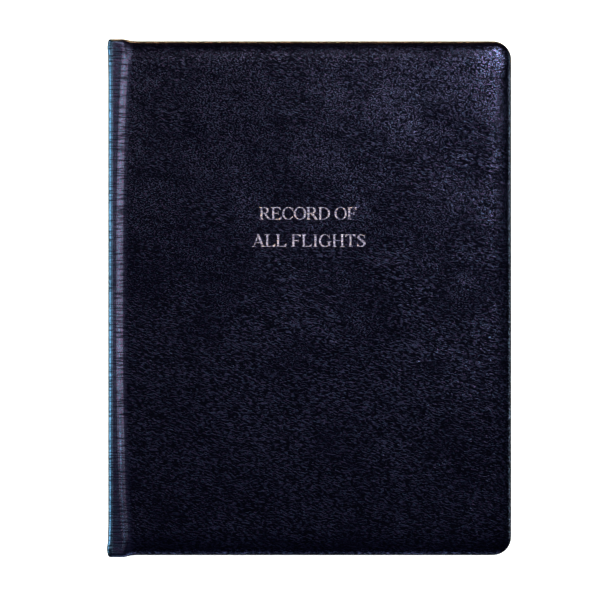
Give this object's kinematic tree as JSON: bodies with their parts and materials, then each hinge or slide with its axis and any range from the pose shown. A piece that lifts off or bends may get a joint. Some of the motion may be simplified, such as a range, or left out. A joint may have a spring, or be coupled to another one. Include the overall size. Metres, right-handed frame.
{
  "type": "pilot logbook",
  "caption": "Hard-bound logbook with padded leather covers, a flexible spine and sewn ledger pages, which hinges open along its two spine grooves.",
  "frame": {"origin": "middle of the underside of the closed book, on the back cover's outer face", "axes": "+Z from the back cover to the front cover, +Y from the tail to the head of the pages, +X from the spine to the fore edge"},
  "size_m": [0.1994, 0.256, 0.026],
  "materials": {
    "leather": "pebble-grained, semi-matt, navy near black",
    "padding": "open foam",
    "board": "matt greyboard",
    "card": "matt manila",
    "endpaper": "matt laid paper",
    "paper": "matt ledger paper, gilt edges",
    "linen": "open woven cotton",
    "thread": "waxed linen thread",
    "band": "silk, striped"
  },
  "bodies": {
    "back_cover": {"back_board": "board", "back_padding": "padding", "back_leather": "leather", "back_infill_card": "card", "back_mull_flap": "linen", "back_pastedown": "endpaper", "back_flyleaf": "endpaper", "section_07": "paper", "section_08": "paper", "section_09": "paper", "section_10": "paper", "section_11": "paper"},
    "spine": {"spine_leather": "leather", "spine_inlay": "card", "spine_lining": "card", "mull": "linen", "sewing_tape_head": "linen", "sewing_tape_middle": "linen", "sewing_tape_tail": "linen", "sewing_thread": "thread", "kettle_stitch_head": "thread", "kettle_stitch_tail": "thread", "headband": "band", "tailband": "band"},
    "front_cover": {"front_board": "board", "front_padding": "padding", "front_leather": "leather", "front_infill_card": "card", "front_mull_flap": "linen", "front_pastedown": "endpaper", "front_flyleaf": "endpaper", "section_01": "paper", "section_02": "paper", "section_03": "paper", "section_04": "paper", "section_05": "paper"},
    "leaf_1": {"centre_leaf_1": "paper"},
    "leaf_2": {"centre_leaf_2": "paper"},
    "leaf_3": {"centre_leaf_3": "paper"},
    "leaf_4": {"centre_leaf_4": "paper"},
    "leaf_5": {"centre_leaf_5": "paper"},
    "leaf_6": {"centre_leaf_6": "paper"},
    "leaf_7": {"centre_leaf_7": "paper"},
    "leaf_8": {"centre_leaf_8": "paper"}
  },
  "joints": [
    {"name": "back_joint", "type": "hinge", "parent": "back_cover", "child": "spine", "pos_m": [-0.09685, 0, 0.0029], "axis": [0, -1, 0], "range_deg": [0, 90]},
    {"name": "front_joint", "type": "hinge", "parent": "spine", "child": "front_cover", "pos_m": [-0.09685, 0, 0.0231], "axis": [0, -1, 0], "range_deg": [0, 90]},
    {"name": "leaf_1_fold", "type": "hinge", "parent": "spine", "child": "leaf_1", "pos_m": [-0.09615, 0, 0.01388], "axis": [0, -1, 0], "range_deg": [0, 40.5]},
    {"name": "leaf_2_fold", "type": "hinge", "parent": "spine", "child": "leaf_2", "pos_m": [-0.09615, 0, 0.01362], "axis": [0, -1, 0], "range_deg": [0, 30.6]},
    {"name": "leaf_3_fold", "type": "hinge", "parent": "spine", "child": "leaf_3", "pos_m": [-0.09615, 0, 0.01337], "axis": [0, -1, 0], "range_deg": [0, 20.7]},
    {"name": "leaf_4_fold", "type": "hinge", "parent": "spine", "child": "leaf_4", "pos_m": [-0.09555, 0, 0.01312], "axis": [0, -1, 0], "range_deg": [0, 10.8]},
    {"name": "leaf_5_fold", "type": "hinge", "parent": "spine", "child": "leaf_5", "pos_m": [-0.09555, 0, 0.01287], "axis": [0, -1, 0], "range_deg": [-10.8, 0]},
    {"name": "leaf_6_fold", "type": "hinge", "parent": "spine", "child": "leaf_6", "pos_m": [-0.09615, 0, 0.01263], "axis": [0, -1, 0], "range_deg": [-20.7, 0]},
    {"name": "leaf_7_fold", "type": "hinge", "parent": "spine", "child": "leaf_7", "pos_m": [-0.09615, 0, 0.01238], "axis": [0, -1, 0], "range_deg": [-30.6, 0]},
    {"name": "leaf_8_fold", "type": "hinge", "parent": "spine", "child": "leaf_8", "pos_m": [-0.09615, 0, 0.01213], "axis": [0, -1, 0], "range_deg": [-40.5, 0]}
  ],
  "couplings": [
    {"joint": "leaf_1_fold", "follows": "front_joint", "ratio": 0.45},
    {"joint": "leaf_2_fold", "follows": "front_joint", "ratio": 0.34},
    {"joint": "leaf_3_fold", "follows": "front_joint", "ratio": 0.23},
    {"joint": "leaf_4_fold", "follows": "front_joint", "ratio": 0.12},
    {"joint": "leaf_5_fold", "follows": "back_joint", "ratio": -0.12},
    {"joint": "leaf_6_fold", "follows": "back_joint", "ratio": -0.23},
    {"joint": "leaf_7_fold", "follows": "back_joint", "ratio": -0.34},
    {"joint": "leaf_8_fold", "follows": "back_joint", "ratio": -0.45}
  ]
}
